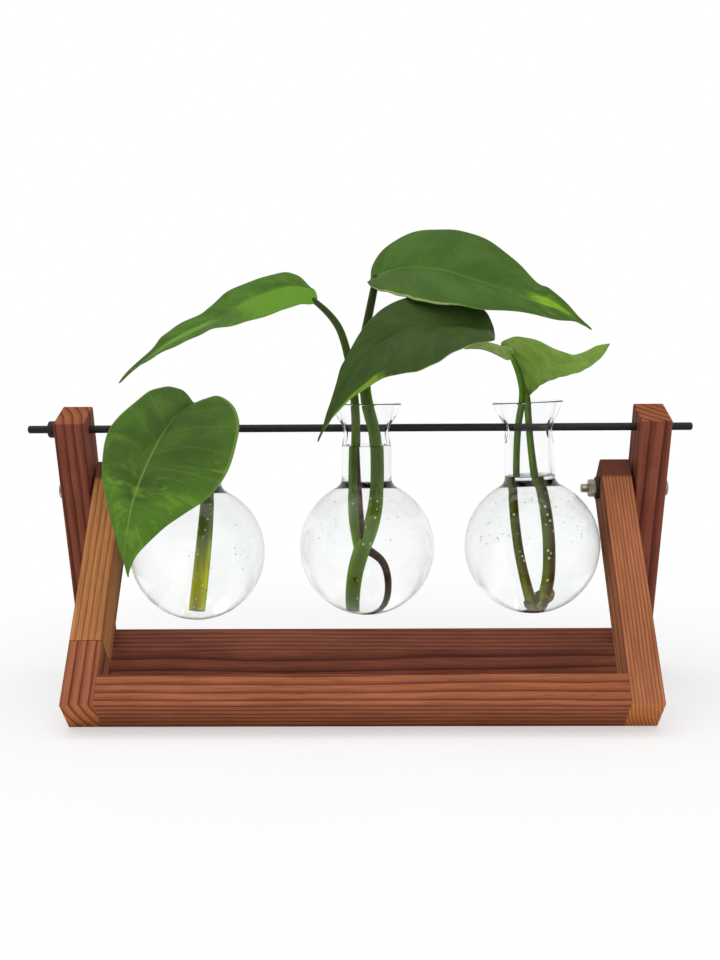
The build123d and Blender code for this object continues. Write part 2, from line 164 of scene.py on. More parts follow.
def stained_pine(name, lean, lying, heart, ring, early, late, wander=2.5, slope=0.0, painted_top_shade_reach=0.0, glue=0):
    """Stained softwood for one stick, with its growth rings about a heart beside the stick, its sawn ends
    lighter partly for their end grain and partly as painted light, and where asked painted shade over its top.
    """
    turn = Matrix.Rotation(radians(lean), 3, "X")
    if lying:
        turn = turn @ Matrix.Rotation(radians(90), 3, "Y")
    low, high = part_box(name)
    middle = (low + high) / 2
    axis = turn @ Vector((0, 0, 1))
    reach = [axis.dot(corner.co - middle) for corner in nodes[name].data.vertices]
    material, tree, shader = finish(name + "_stained_pine")
    coordinates = node(tree, "TexCoord", {}).outputs
    place = coordinates["Object"]
    stick = node(tree, "Mapping", {"Vector": place, "Location": middle, "Rotation": turn.to_euler()},
                 vector_type="TEXTURE").outputs[0]
    grown = node(tree, "Mapping", {"Vector": stick, "Location": (heart[0], heart[1], 0),
                                   "Rotation": (0, radians(slope), 0), "Scale": (1, 1, 0.3)}).outputs[0]
    rings = node(tree, "TexWave", {"Vector": grown, "Scale": wave_repeat / ring, "Distortion": wander,
                                   "Detail": 2.0, "Detail Scale": 0.25, "Detail Roughness": 0.5},
                 wave_type="RINGS", rings_direction="Z", wave_profile="SAW").outputs["Fac"]
    between = [(a + b) / 2 for a, b in zip(early, late)]
    wood = ramp(tree, rings, ((0.0, early), (0.42, early), (0.7, between), (0.88, late), (0.96, late),
                              (1.0, early)))
    drawn = stretched(tree, stick, (1, 1, 0.03))
    fibre = noise(tree, drawn, 1500, 3)
    wood = shaded(tree, wood, fibre, ((0.3, (0.80, 0.77, 0.75, 1)), (0.7, (1.14, 1.14, 1.14, 1))))
    cloud = noise(tree, stretched(tree, stick, (1, 1, 0.4)), 70, 2)
    wood = shaded(tree, wood, cloud, ((0.3, (0.88, 0.86, 0.85, 1)), (0.7, (1.1, 1.1, 1.1, 1))))
    pores = spread(tree, noise(tree, drawn, 3300, 1), 0.62, 0.74, 0, 0.45)
    wood = blend(tree, pores, wood, [tone * 0.45 for tone in late[:3]] + [1])
    up = node(tree, "SeparateXYZ", {0: stick}).outputs[2]
    # Painted shade over the top of a short upright, where the tall upright beside it stands over it and keeps
    # the light off.
    if painted_top_shade_reach:
        painted_top_shade = spread(tree, up, max(reach) - painted_top_shade_reach, max(reach) - painted_top_shade_reach * 0.8, 0, 0.9)
        wood = blend(tree, painted_top_shade, wood, [tone * share for tone, share in zip(early, (0.28, 0.24, 0.38))] + [1])
    if glue:
        line = max(reach) if glue > 0 else min(reach)
        near = math(tree, "ABSOLUTE", math(tree, "SUBTRACT", up, line))
        wood = blend(tree, spread(tree, near, glue_width / 3, glue_width, 0.7, 0), wood, screen(60, 28, 22))
    # Faces across the stick are made lighter, partly for their end grain and partly as painted light from
    # above.
    facing = node(tree, "VectorMath", {0: coordinates["Normal"], 1: axis},
                  operation="DOT_PRODUCT").outputs["Value"]
    end_grain_and_painted_light = spread(tree, math(tree, "ABSOLUTE", facing), 0.8, 0.95, 0, 0.7)
    wood = blend(tree, end_grain_and_painted_light, wood, blend(tree, 1.0, wood, (1.5, 1.55, 1.0, 1), "MULTIPLY"))
    tree.links.new(wood, shader.inputs["Base Color"])
    tree.links.new(spread(tree, fibre, 0.3, 0.7, 0.72, 0.56), shader.inputs["Roughness"])
    shader.inputs["Specular IOR Level"].default_value = 0.02
    ridge = math(tree, "ADD", fibre, math(tree, "MULTIPLY", rings, 0.5))
    emboss(tree, shader, ridge, 0.3, 0.0003)
    coat(name, material)


stained_pine("rear_left_upright", rear_lean, False, (0.052, 0.020), 0.0040, screen(136, 80, 62),
             screen(92, 48, 39), slope=1.2)
stained_pine("rear_right_upright", rear_lean, False, (-0.040, -0.034), 0.0042, screen(134, 78, 62),
             screen(90, 46, 38), slope=-1.6)
stained_pine("rear_rail", rear_lean, True, (0.012, 0.030), 0.0036, screen(142, 84, 66), screen(98, 54, 46),
             wander=4.5, slope=2.0)
stained_pine("front_left_upright", front_lean, False, (0.085, 0.012), 0.0027, screen(180, 124, 78),
             screen(142, 88, 54), painted_top_shade_reach=painted_shade_reach, glue=-1)
stained_pine("front_left_foot", front_lean, False, (-0.060, 0.016), 0.0040, screen(158, 98, 70),
             screen(108, 54, 38), glue=1)
stained_pine("front_right_upright", front_lean, False, (-0.090, 0.020), 0.0015, screen(170, 110, 76),
             screen(132, 75, 52), painted_top_shade_reach=painted_shade_reach)
stained_pine("front_rail", front_lean, True, (0.040, 0.050), 0.0026, screen(160, 98, 68), screen(112, 58, 42),
             wander=4.0)


# Dowels pin the corners of both frames and the spliced foot. They are turned hardwood,
# left unstained, and glued into blind holes.
def dowel_wood():
    """Pale turned wood with fine lines along the pin."""
    material, tree, shader = finish("pale_dowel_wood")
    place = own_place(tree)
    drawn = stretched(tree, place, (0.1, 1, 1))
    lines = noise(tree, drawn, 900, 3)
    tree.links.new(ramp(tree, lines, ((0.3, screen(150, 108, 70)), (0.7, screen(190, 150, 104)))),
                   shader.inputs["Base Color"])
    tree.links.new(spread(tree, lines, 0.3, 0.7, 0.7, 0.55), shader.inputs["Roughness"])
    emboss(tree, shader, lines, 0.2, 0.0002)
    for name in ("rear_corner_dowels", "front_corner_dowels", "front_splice_dowels"):
        coat(name, material)


dowel_wood()


# Pivot hardware: a plated bolt through each pair of uprights, a black rubber washer that
# brakes the fold between them, another under the nut, and a plated hexagon nut.
turning_pitch = 0.0007


def plated_steel():
    """Bright zinc plate with fine turning marks and dull patches."""
    material, tree, shader = finish("plated_steel")
    place = own_place(tree)
    dull = noise(tree, place, 420, 4)
    tree.links.new(ramp(tree, dull, ((0.3, screen(120, 108, 94)), (0.7, screen(176, 168, 156)))),
                   shader.inputs["Base Color"])
    tree.links.new(spread(tree, dull, 0.3, 0.7, 0.42, 0.26), shader.inputs["Roughness"])
    shader.inputs["Metallic"].default_value = 1.0
    turned = node(tree, "TexWave", {"Vector": place, "Scale": wave_repeat / turning_pitch, "Distortion": 0.3},
                  wave_type="BANDS", bands_direction="X").outputs["Fac"]
    emboss(tree, shader, turned, 0.35, 0.0002)
    return material


def black_rubber():
    """Dull black rubber with a dusty bloom."""
    material, tree, shader = finish("black_rubber")
    place = own_place(tree)
    dust = noise(tree, place, 1400, 4)
    tree.links.new(ramp(tree, dust, ((0.35, screen(24, 22, 21)), (0.75, screen(44, 41, 39)))),
                   shader.inputs["Base Color"])
    tree.links.new(spread(tree, dust, 0.3, 0.7, 0.72, 0.9), shader.inputs["Roughness"])
    emboss(tree, shader, dust, 0.3, 0.0002)
    return material


zinc = plated_steel()
rubber = black_rubber()
for side in ("left", "right"):
    coat(side + "_pivot_bolt", zinc)
    coat(side + "_pivot_nut", zinc)
    coat(side + "_friction_washer", rubber)
    coat(side + "_nut_washer", rubber)


# Hanging rod: a steel rod in satin black lacquer that slides in the tall uprights, with a
# black stop ring pressed on its left end.
def black_lacquer():
    """Satin black with a warm tinge, rubbed a little along its length."""
    material, tree, shader = finish("satin_black_lacquer")
    place = own_place(tree)
    drawn = stretched(tree, place, (0.04, 1, 1))
    rubbed = noise(tree, drawn, 2600, 4)
    patch = noise(tree, place, 45, 2)
    tint = ramp(tree, patch, ((0.3, screen(20, 18, 14)), (0.7, screen(30, 26, 20))))
    tint = blend(tree, spread(tree, rubbed, 0.58, 0.75, 0, 0.35), tint, screen(52, 46, 38))
    tree.links.new(tint, shader.inputs["Base Color"])
    tree.links.new(spread(tree, rubbed, 0.3, 0.7, 0.55, 0.42), shader.inputs["Roughness"])
    shader.inputs["Specular IOR Level"].default_value = 0.2
    emboss(tree, shader, rubbed, 0.12, 0.0002)
    for name in ("hanging_rod", "rod_stop_ring"):
        coat(name, material)


black_lacquer()


# Bulb vases: thin blown glass with a round bulb and a flared neck. Two holes with pushed-in
# rims let the rod through the neck, and each vase hangs on it by their upper edges.
rod_low, rod_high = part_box("hanging_rod")
rod_y = (rod_low.y + rod_high.y) / 2
rod_z = (rod_low.z + rod_high.z) / 2
glass_wall = 0.0012
mouth_radius = 0.0160
mouth_above = 0.0108
neck_radius = 0.0113
flare_below = 0.0090
flare_out = mouth_radius - neck_radius
flare_arc = (flare_out ** 2 + (mouth_above + flare_below) ** 2) / flare_out / 2
shoulder_round = 0.0050
bulb_radius = 0.0308
bulb_drop = 0.0545
shoulder_turn = asin((neck_radius + shoulder_round) / (bulb_radius + shoulder_round))
shoulder_z = (bulb_radius + shoulder_round) * cos(shoulder_turn) - bulb_drop
hole_radius = 0.0032
hole_below = 0.00115
dimple_depth = 0.0022
dimple_reach = 0.0028
collar_radius = 0.0046
collar_pull = 0.6
lip_height = 0.0005
row_height = 0.0026
shoulder_gap = 0.002
weld_gap = 0.000005
columns = 48
cell = 0.0016
lean = radians(2.2)
vase_x = {"left": -0.0755, "middle": 0.0019, "right": 0.074908}
vase_drop = {"left": 0.002, "middle": 0.0, "right": 0.0}
vase_place = {name: Matrix.Translation((vase_x[name], rod_y, rod_z - vase_drop[name])) for name in vase_x}
vase_place["right"] = (Matrix.Translation((vase_x["right"], rod_y, rod_z + neck_radius * sin(lean)))
                       @ Matrix.Rotation(-lean, 4, "Y"))


def neck_at(height):
    """The outer radius of the neck at a height above the rod."""
    over = max(height + flare_below, 0)
    return neck_radius + flare_arc - sqrt(flare_arc ** 2 - over ** 2)


def below_neck(wall, steps):
    """Profile of the shoulder and bulb, from the neck's foot to the pole, at a depth in the glass."""
    points = []
    for step in range(6):
        angle = pi + (pi / 2 - shoulder_turn) * step / 5
        points.append((neck_radius + shoulder_round + (shoulder_round + wall) * cos(angle),
                       shoulder_z + (shoulder_round + wall) * sin(angle)))
    for step in range(1, steps + 1):
        angle = shoulder_turn + (pi - shoulder_turn) * step / steps
        points.append(((bulb_radius - wall) * sin(angle), (bulb_radius - wall) * cos(angle) - bulb_drop))
    return points


def turned(name, profile, steps):
    """A round shell spun about Z from a profile of radius and height."""
    bpy.ops.object.select_all(action="DESELECT")
    bpy.ops.mesh.primitive_plane_add(size=0.01)
    piece = bpy.context.object
    piece.name = name
    bpy.ops.object.mode_set(mode="EDIT")
    bpy.ops.mesh.merge(type="CENTER")
    last = (0, 0)
    for index, (out, up) in enumerate(profile):
        step = (out - last[0], 0, up - last[1])
        if index:
            bpy.ops.mesh.extrude_region_move(TRANSFORM_OT_translate={"value": step})
        else:
            bpy.ops.transform.translate(value=step)
        last = (out, up)
    bpy.ops.mesh.select_all(action="SELECT")
    bpy.ops.mesh.spin(steps=steps, angle=2 * pi, center=(0, 0, 0), axis=(0, 0, 1))
    bpy.ops.mesh.select_all(action="SELECT")
    bpy.ops.mesh.remove_doubles(threshold=weld_gap)
    bpy.ops.mesh.normals_make_consistent(inside=False)
    bpy.ops.object.mode_set(mode="OBJECT")
    return piece


def take(*pieces):
    """Selects pieces alone, with the first one active."""
    bpy.ops.object.select_all(action="DESELECT")
    for piece in pieces:
        piece.select_set(True)
    bpy.context.view_layer.objects.active = pieces[0]


def set_down(piece, place):
    """Moves a piece's mesh to its place, and leaves its object at the origin."""
    piece.matrix_world = place
    take(piece)
    bpy.ops.object.transform_apply(location=True, rotation=True, scale=True)


def apply(piece, kind, **settings):
    """Adds a modifier and applies it."""
    take(piece)
    modifier = piece.modifiers.new(kind, kind)
    for key, value in settings.items():
        setattr(modifier, key, value)
    bpy.ops.object.modifier_apply(modifier=modifier.name)


def pierce(piece, hole_z):
    """Opens the two rod holes, rounds them and pushes their rims in."""
    bpy.ops.object.mode_set(mode="EDIT")
    bpy.ops.mesh.select_all(action="DESELECT")
    bpy.ops.object.mode_set(mode="OBJECT")
    for side in (1, -1):
        for corner in piece.data.vertices:
            x, y, z = corner.co
            if x * side <= 0 or abs(z - hole_z) > hole_radius + dimple_reach + cell:
                continue
            turn = atan2(y, x * side)
            across = turn / (2 * pi / columns) * cell
            up = z - hole_z
            square = max(abs(across), abs(up)) / cell
            if square < 1.5:
                corner.select = True
                continue
            around = atan2(up, across)
            if square < 2.5:
                across, up = hole_radius * cos(around), hole_radius * sin(around)
            elif square < 3.5:
                across += collar_pull * (collar_radius * cos(around) - across)
                up += collar_pull * (collar_radius * sin(around) - up)
            far = min(max((hypot(across, up) - hole_radius) / dimple_reach, 0), 1)
            radius = neck_at(hole_z + up) - dimple_depth * (0.5 + 0.5 * cos(pi * far))
            turn = across / cell * (2 * pi / columns)
            corner.co = (side * radius * cos(turn), radius * sin(turn), hole_z + up)
    bpy.ops.object.mode_set(mode="EDIT")
    bpy.ops.mesh.select_mode(type="VERT")
    bpy.ops.mesh.delete(type="VERT")
    bpy.ops.object.mode_set(mode="OBJECT")


def clear_shadow(tree, shader, tint):
    """Lets lamps through a clear piece, so that it throws no black shadow."""
    through = node(tree, "BsdfTransparent", {"Color": tint}).outputs[0]
    shadow = node(tree, "LightPath", {}).outputs["Is Shadow Ray"]
    either = node(tree, "MixShader", {0: shadow, 1: shader.outputs[0], 2: through}).outputs[0]
    tree.links.new(either, tree.nodes["Material Output"].inputs["Surface"])


def clear_glass():
    """Clear blown glass with faint waves."""
    material, tree, shader = finish("clear_blown_glass")
    place = own_place(tree)
    wave = noise(tree, place, 55, 1)
    tree.links.new(ramp(tree, wave, ((0.3, screen(251, 253, 253)), (0.7, screen(255, 255, 255)))),
                   shader.inputs["Base Color"])
    shader.inputs["Roughness"].default_value = 0.0
    shader.inputs["IOR"].default_value = 1.48
    shader.inputs["Specular Tint"].default_value = (0.25, 0.25, 0.25, 1)
    shader.inputs["Transmission Weight"].default_value = 1.0
    emboss(tree, shader, wave, 0.05, 0.002)
    clear_shadow(tree, shader, screen(247, 249, 248))
    return material


glass = clear_glass()
for name in vase_x:
    hole_z = vase_drop[name] - hole_below
    heights = [mouth_above, mouth_above - lip_height, (mouth_above + hole_z + 4 * cell) / 2]
    heights += [hole_z + cell * step for step in range(4, -5, -1)]
    lower = heights[-1] - cell
    while lower > shoulder_z + shoulder_gap:
        heights.append(lower)
        lower -= row_height
    profile = [(neck_at(height), height) for height in heights] + below_neck(0, 17)
    vase = turned(name + "_vase_glass", profile, columns)
    pierce(vase, hole_z)
    apply(vase, "SOLIDIFY", thickness=glass_wall, offset=-1, use_even_offset=True)
    apply(vase, "SUBSURF", levels=2, render_levels=2)
    bpy.ops.object.shade_smooth()
    set_down(vase, vase_place[name])
    vase.data.materials.append(glass)
    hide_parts(name + "_vase_neck", name + "_vase_shoulder", name + "_vase_bowl")
    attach(vase, name + "_vase")


# Water: each bulb is filled to its shoulder, and the middle one up into its neck. The water
# wets the wall, so its edge climbs the glass a little.
water_level = {"left": -0.0225, "middle": -0.0085, "right": -0.0228}
wet_depth = 0.0003
meniscus = 0.0008
water_row = 0.002


def clear_water():
    """Water with a faint grey-green tinge."""
    material, tree, shader = finish("clear_water")
    place = own_place(tree)
    haze = noise(tree, place, 40, 2)
    tree.links.new(ramp(tree, haze, ((0.3, screen(251, 252, 250)), (0.7, screen(255, 255, 254)))),
                   shader.inputs["Base Color"])
    shader.inputs["Roughness"].default_value = 0.0
    shader.inputs["IOR"].default_value = 1.33
    shader.inputs["Specular Tint"].default_value = (0.08, 0.08, 0.08, 1)
    shader.inputs["Transmission Weight"].default_value = 1.0
    clear_shadow(tree, shader, screen(247, 249, 245))
    return material


water = clear_water()
for name in vase_x:
    level = water_level[name] + vase_drop[name]
    wall = glass_wall - wet_depth
    rim = neck_at(level) - wall
    profile = [(0, level), (rim * 0.6, level), (rim * 0.85, level + meniscus / 4), (rim, level + meniscus)]
    lower = level - water_row / 2
    while lower > shoulder_z + water_row / 2:
        profile.append((neck_at(lower) - wall, lower))
        lower -= water_row
    profile += [point for point in below_neck(wall, 30) if point[1] < level - water_row / 4]
    fill = turned(name + "_vase_water", profile, 72)
    bpy.ops.object.shade_smooth_by_angle(angle=radians(40))
    set_down(fill, vase_place[name])
    fill.data.materials.append(water)
    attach(fill, name + "_vase")


# Air bubbles: small beads of air that cling to the inside of the bulbs under the water, most
# of them in the right one. They have no solid of their own and move with their vase.
bead_depth = 0.0004
bead_small = 0.00014
bead_large = 0.00034


def air_bubble():
    """Grey-brown beads that let a little light through."""
    material, tree, shader = finish("air_bubble")
    place = own_place(tree)
    patch = noise(tree, place, 300, 1)
    tree.links.new(ramp(tree, patch, ((0.3, screen(120, 112, 98)), (0.7, screen(190, 186, 174)))),
                   shader.inputs["Base Color"])
    shader.inputs["Roughness"].default_value = 0.05
    shader.inputs["Transmission Weight"].default_value = 0.3
    return material


air = air_bubble()
draw = Random(7)
for name, count, turn_from, turn_to, low, high in (
        ("left", 26, -100, -10, -0.2, 0.5), ("middle", 30, -150, -30, 0.2, 0.85),
        ("right", 90, -165, -20, 0.15, 0.8)):
    beads = []
    for index in range(count):
        turn = radians(draw.uniform(turn_from, turn_to))
        up = draw.uniform(low, high)
        reach = bulb_radius - glass_wall - bead_depth
        flat = sqrt(1 - up ** 2)
        spot = Vector((reach * flat * cos(turn), reach * flat * sin(turn), reach * up - bulb_drop))
        bpy.ops.mesh.primitive_ico_sphere_add(subdivisions=1, radius=draw.uniform(bead_small, bead_large),
                                              location=spot)
        beads.append(bpy.context.object)
    take(*beads)
    bpy.ops.object.join()
    bpy.ops.object.transform_apply(location=True, rotation=True, scale=True)
    bpy.ops.object.shade_smooth()
    cluster = bpy.context.object
    cluster.name = name + "_vase_bubbles"
    set_down(cluster, vase_place[name])
    cluster.data.materials.append(air)
    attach(cluster, name + "_vase")


# Stems and roots: each cutting stands in its vase on one side of the rod. The stems are
# green above the neck and olive to brown in the water, and thin petioles carry the leaves.
bore_radius = 0.0101
bulb_depth = 0.0841
rod_radius = (rod_high.z - rod_low.z) / 2
stem_gap = 0.00055
shoot_bevel = 0.001
cut_edge = 0.0006
stem_foot_z = 0.03
stem_top_z = 0.21
wet_z = 0.085
canopy = Vector((0.110, 0.060, 0.090))
canopy_place = dict(vase_place)
canopy_place["left"] = Matrix.Translation((vase_x["left"], rod_y, rod_z))


def in_vase(rows, size, back, clear=stem_gap):
    """A route down a vase with its radii, clear of the rod on its front or back, so that it lifts out."""
    route = []
    for across, up, share in rows:
        off = back * (rod_radius + clear + share * size)
        route.append((Vector((across * bore_radius, off, up * bulb_depth)), share * size))
    return route


def over_vase(rows, size):
    """A route above a vase with its radii."""
    return [(Vector((across * canopy.x, back * canopy.y, up * canopy.z)), share * size)
            for across, back, up, share in rows]


def shoot(route, place):
    """A round tapered shoot drawn smoothly along its route."""
    curve = bpy.data.curves.new("shoot", "CURVE")
    curve.dimensions = "3D"
    line = curve.splines.new("NURBS")
    line.points.add(len(route) - 1)
    for knot, (point, radius) in zip(line.points, route):
        knot.co = (*(place @ point), 1)
        knot.radius = radius / shoot_bevel
    line.order_u = 3
    line.use_endpoint_u = True
    line.resolution_u = 10
    curve.bevel_depth = shoot_bevel
    curve.bevel_resolution = 5
    curve.use_fill_caps = True
    made = bpy.data.objects.new("shoot", curve)
    scene.collection.objects.link(made)
    take(made)
    bpy.ops.object.convert(target="MESH")
    return bpy.context.object


def bundle(name, shoots, skin, body):
    """Joins a cutting's shoots into one piece."""
    take(*shoots)
    if len(shoots) > 1:
        bpy.ops.object.join()
    piece = bpy.context.object
    piece.name = name + "_skin"
    piece.data.materials.clear()
    piece.data.materials.append(skin)
    bpy.ops.object.shade_smooth_by_angle(angle=radians(50))
    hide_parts(name)
    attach(piece, body)


# Painted light on the two flanks of a round stem and painted shade down its middle.
painted_lit_flanks = ((0.0, (1.3, 1.4, 1.1, 1)), (0.1, (1.6, 1.7, 1.2, 1)), (0.26, (0.92, 0.92, 0.9, 1)),
               (0.5, (0.82, 0.80, 0.8, 1)), (0.74, (0.92, 0.92, 0.9, 1)), (0.9, (1.6, 1.7, 1.2, 1)),
               (1.0, (1.3, 1.4, 1.1, 1)))


def stem_skin(name, stops, speck, flank_light_and_shade=painted_lit_flanks, cut=None):
    """Stem skin whose colour changes with height, with painted light on its flanks and painted shade down its
    middle, lines, spots and bubbles under water.
    """
    material, tree, shader = finish(name)
    coordinates = node(tree, "TexCoord", {}).outputs
    place = coordinates["Object"]
    up = node(tree, "SeparateXYZ", {0: place}).outputs[2]
    wander = math(tree, "MULTIPLY", math(tree, "SUBTRACT", noise(tree, place, 120, 2), 0.5), 0.02)
    height = math(tree, "ADD", up, wander)
    share = node(tree, "MapRange", {0: height, 1: stem_foot_z, 2: stem_top_z, 3: 0, 4: 1}).outputs[0]
    tint = ramp(tree, share, stops)
    # Painted light and shade, set by which way the stem's surface faces sideways.
    lit_side = node(tree, "SeparateXYZ", {0: coordinates["Normal"]}).outputs[0]
    lit_side = math(tree, "MULTIPLY_ADD", lit_side, 0.5, 0.5)
    tint = shaded(tree, tint, lit_side, flank_light_and_shade)
    if cut:
        beside = node(tree, "SeparateXYZ", {0: place}).outputs[0]
        tint = blend(tree, spread(tree, beside, cut - cut_edge, cut, 0, 0.8), tint, screen(150, 128, 74))
    drawn = stretched(tree, place, (1, 1, 0.08))
    lines = noise(tree, drawn, 1500, 3)
    tint = shaded(tree, tint, lines, ((0.3, (0.76, 0.78, 0.74, 1)), (0.7, (1.18, 1.16, 1.14, 1))))
    spots = node(tree, "TexVoronoi", {"Vector": place, "Scale": 160.0, "Randomness": 1.0}).outputs[0]
    tint = blend(tree, spread(tree, spots, 0.08, 0.15, 0.8, 0), tint, speck)
    dots = node(tree, "TexVoronoi", {"Vector": place, "Scale": 460.0, "Randomness": 1.0}).outputs[0]
    wet = math(tree, "MULTIPLY", spread(tree, up, wet_z, wet_z + 0.01, 1, 0),
               spread(tree, noise(tree, place, 160, 1), 0.46, 0.54, 0, 0.85))
    beads = math(tree, "MULTIPLY", spread(tree, dots, 0.15, 0.24, 1, 0), wet)
    tint = blend(tree, beads, tint, screen(214, 222, 190))
    tree.links.new(tint, shader.inputs["Base Color"])
    tree.links.new(spread(tree, lines, 0.3, 0.7, 0.55, 0.38), shader.inputs["Roughness"])
    shader.inputs["Specular IOR Level"].default_value = 0.06
    emboss(tree, shader, lines, 0.35, 0.0003)
    return material


stem_r = 0.228 * bore_radius
thick_r = 0.257 * bore_radius
thin_r = 0.158 * bore_radius
petiole_r = 0.139 * bore_radius
root_r = 0.079 * bore_radius
stub_r = 0.188 * bore_radius

left_skin = stem_skin("left_stem_skin", ((0.0, screen(206, 192, 58)), (0.15, screen(178, 180, 50)),
                                         (0.24, screen(88, 104, 40)), (0.5, screen(78, 98, 36)),
                                         (1.0, screen(60, 78, 30))), screen(48, 56, 24))
route = in_vase(((0.0, -0.92, 1.3), (0.28, -0.66, 1.26), (0.50, -0.40, 1.13), (0.60, -0.22, 1.0),
                 (0.42, 0.02, 0.85)), stem_r, -1)
route += over_vase(((-0.07, -0.13, 0.165, 1.1), (-0.11, -0.24, 0.175, 1.1), (-0.07, -0.44, 0.16, 1.1),
                    (0.040, -0.55, 0.125, 1.0)), petiole_r)
bundle("left_cutting_stem", [shoot(route, canopy_place["left"])], left_skin, "left_cutting")

middle_skin = stem_skin("middle_stem_skin", ((0.0, screen(80, 98, 38)), (0.25, screen(96, 122, 42)),
                                             (0.5, screen(76, 98, 34)), (0.62, screen(64, 82, 30)),
                                             (0.8, screen(50, 62, 26)), (1.0, screen(50, 62, 26))),
                        screen(46, 34, 20))
route_a = in_vase(((-0.16, -0.68, 1.0), (-0.36, -0.58, 1.05), (-0.48, -0.42, 1.08), (-0.50, -0.24, 0.95),
                   (-0.42, 0.10, 0.85)), stem_r, -1)
route_a += over_vase(((-0.075, -0.08, 0.40, 1.3), (-0.13, 0.06, 0.56, 1.15), (-0.22, 0.22, 0.645, 0.9)),
                     petiole_r)
route_b = in_vase(((-0.54, -0.93, 1.0), (-0.52, -0.80, 1.04), (-0.24, -0.66, 1.18), (0.18, -0.55, 1.1),
                   (0.40, -0.40, 1.06), (0.43, -0.20, 1.06), (0.40, -0.03, 1.04), (0.10, 0.10, 1.08),
                   (-0.04, 0.19, 1.0)), thick_r, -1)
route_b += over_vase(((-0.012, -0.10, 0.42, 1.45), (0.02, -0.105, 0.6, 1.3), (0.045, -0.11, 0.75, 1.2)),
                     petiole_r)
route_c = over_vase(((-0.012, -0.10, 0.36, 1.1), (0.02, -0.10, 0.47, 1.1), (0.18, -0.10, 0.60, 1.0),
                     (0.36, -0.24, 0.57, 1.0), (0.42, -0.38, 0.52, 0.9)), petiole_r)
place = canopy_place["middle"]
bundle("middle_cutting_stem", [shoot(route, place) for route in (route_a, route_b, route_c)], middle_skin,
       "middle_cutting")

right_skin = stem_skin("right_stem_skin", ((0.0, screen(150, 140, 52)), (0.08, screen(116, 104, 42)),
                                           (0.18, screen(80, 72, 24)), (0.36, screen(76, 76, 24)),
                                           (0.44, screen(76, 94, 28)), (0.58, screen(70, 94, 30)),
                                           (0.66, screen(74, 98, 36)), (0.74, screen(104, 136, 52))),
                       screen(58, 36, 22),
                       # The right stems get painted light on the flank facing left, painted shade on the flank
                       # facing right, and a thin painted highlight at its edge.
                       flank_light_and_shade=((0.0, (1.5, 2.1, 1.1, 1)), (0.3, (1.2, 1.9, 1.0, 1)), (0.5, (0.95, 1.1, 0.9, 1)),
                               (0.66, (0.75, 0.6, 0.7, 1)), (0.85, (0.7, 0.55, 0.6, 1)),
                               (1.0, (1.7, 1.5, 0.9, 1))))
route_a = in_vase(((0.05, -0.91, 1.2), (-0.30, -0.76, 1.0), (-0.52, -0.55, 1.0), (-0.60, -0.29, 1.0),
                   (-0.45, 0.0, 1.0), (-0.12, 0.16, 1.0)), thin_r, 1)
route_a += over_vase(((-0.015, 0.17, 0.24, 1.1), (-0.030, 0.22, 0.31, 1.0), (-0.050, 0.27, 0.374, 0.8)),
                     petiole_r)
route_b = in_vase(((0.20, -0.90, 1.3), (0.52, -0.83, 1.3), (0.63, -0.66, 1.3), (0.54, -0.50, 1.28),
                   (0.30, -0.32, 1.2), (0.12, -0.10, 1.0), (0.06, 0.05, 1.0), (0.04, 0.16, 1.0)), thin_r, 1)
route_b += over_vase(((-0.004, 0.20, 0.19, 1.0), (-0.008, 0.27, 0.215, 0.6)), petiole_r)
place = canopy_place["right"]
bundle("right_cutting_stem", [shoot(route, place) for route in (route_a, route_b)], right_skin,
       "right_cutting")

root_skin = stem_skin("brown_root_skin", ((0.0, screen(72, 50, 34)), (0.3, screen(64, 44, 30)),
                                          (0.6, screen(60, 42, 30)), (1.0, screen(72, 52, 36))),
                      screen(110, 86, 62))
route_a = in_vase(((-0.14, -0.64, 2.2), (0.14, -0.66, 1.9), (0.58, -0.70, 1.7), (0.76, -0.78, 1.6),
                   (0.70, -0.88, 1.5), (0.30, -0.945, 1.3), (-0.25, -0.96, 0.8)), root_r, -1)
route_b = in_vase(((-0.32, -0.08, 0.6), (-0.31, -0.28, 1.1), (-0.22, -0.48, 1.2), (-0.12, -0.64, 1.5)),
                  root_r, -1, clear=0.0037)
place = canopy_place["middle"]
bundle("middle_cutting_root", [shoot(route, place) for route in (route_a, route_b)], root_skin,
       "middle_cutting")

stub_skin = stem_skin("right_stub_skin", ((0.0, screen(56, 52, 30)), (0.06, screen(62, 62, 32)),
                                          (0.10, screen(84, 88, 42)), (1.0, screen(96, 100, 46))),
                      screen(40, 30, 20), cut=vase_x["right"] + 0.0053)
route_a = in_vase(((-0.20, -0.885, 0.8), (0.15, -0.865, 1.25), (0.42, -0.85, 1.35), (0.55, -0.84, 1.25),
                   (0.61, -0.838, 0.65)), stub_r, 1)
route_b = in_vase(((0.25, -0.90, 0.9), (-0.20, -0.925, 0.7), (-0.68, -0.935, 0.25)), stub_r, 1)
route_c = in_vase(((0.30, -0.90, 1.0), (0.10, -0.95, 1.0), (-0.30, -0.965, 0.5)), root_r, 1, clear=0.0027)
place = canopy_place["right"]
bundle("right_cutting_root", [shoot(route, place) for route in (route_a, route_b, route_c)], stub_skin,
       "right_cutting")


# Leaves: waxy heart-shaped blades with a grooved midrib, on the petioles' ends. Each is drawn
# through picture points on its midrib and its two edges, at the depth of its solid.
leaf_thickness = 0.0005
leaf_weld = 0.00002
leaf_front = Vector((0, -0.6, 0.8))


def sight(column, row):
    """The direction from the camera through a picture point."""
    ahead = Vector(((column - middle_column) / focal_pixels, (middle_row - row) / focal_pixels, -1))
    return (gaze @ ahead).normalized()


